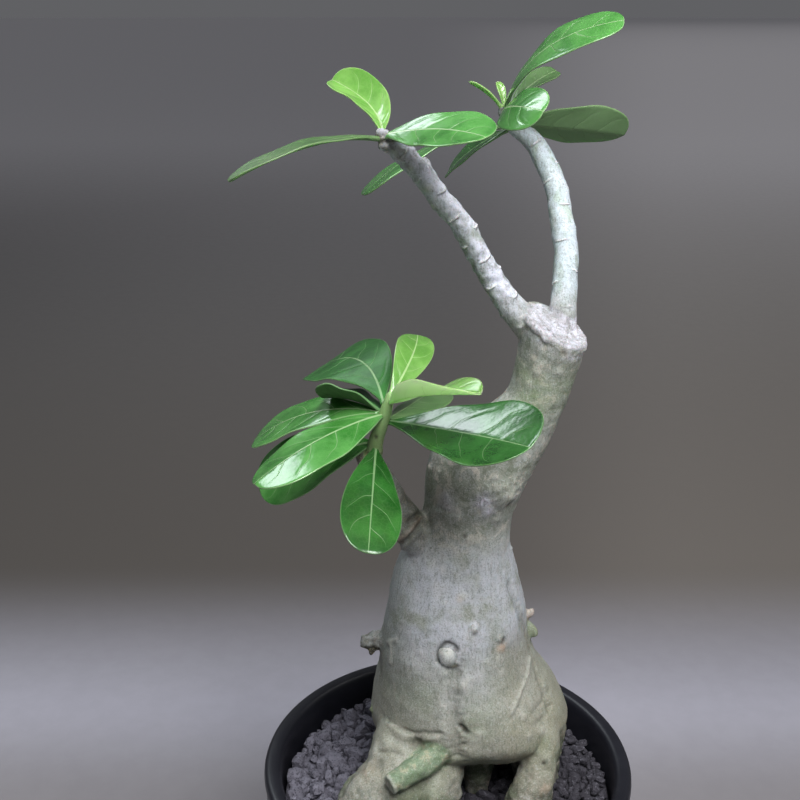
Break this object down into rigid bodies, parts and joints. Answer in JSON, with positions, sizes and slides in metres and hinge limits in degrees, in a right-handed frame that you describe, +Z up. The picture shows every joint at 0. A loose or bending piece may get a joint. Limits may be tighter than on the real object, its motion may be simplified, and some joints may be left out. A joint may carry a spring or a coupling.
{
  "type": "potted desert rose adenium",
  "caption": "Fat-stemmed desert rose standing on raised roots in grit in a round black pot, with a sawn trunk, thin branches and tufts of spoon-shaped leaves.",
  "frame": {"origin": "middle of the pot's flat underside", "axes": "+Z up through the pot's axis; -Y is the front, the side that the picture shows; +X is the picture's right"},
  "size_m": [0.15, 0.15, 0.4199],
  "materials": {
    "pot": "smooth black moulded plastic with a soft sheen",
    "grit": "rough grey lava grit",
    "bark": "smooth living grey-green skin, paler on the branches",
    "leaf": "thick glossy green leaf with a pale midrib",
    "young_leaf": "glossy light green young leaf"
  },
  "bodies": {
    "root": {"pot": "pot", "grit": "grit", "plant_body": "bark", "leaf_low_rear_left": "leaf", "leaf_low_upright": "young_leaf", "leaf_low_folded": "young_leaf", "leaf_low_right": "leaf", "leaf_low_hanging": "leaf", "leaf_low_front_left": "leaf", "leaf_low_left": "leaf", "leaf_low_shaded": "leaf", "leaf_low_under": "leaf", "leaf_low_rear_right": "leaf", "leaf_left_long": "leaf", "leaf_left_upright": "young_leaf", "leaf_left_inner": "leaf", "leaf_right_tall": "leaf", "leaf_right_pale": "young_leaf", "leaf_right_round": "leaf", "leaf_right_broad": "leaf", "leaf_right_rear": "leaf", "leaf_right_reaching": "leaf", "leaf_right_bud_long": "young_leaf", "leaf_right_bud_short": "young_leaf"}
  },
  "joints": []
}
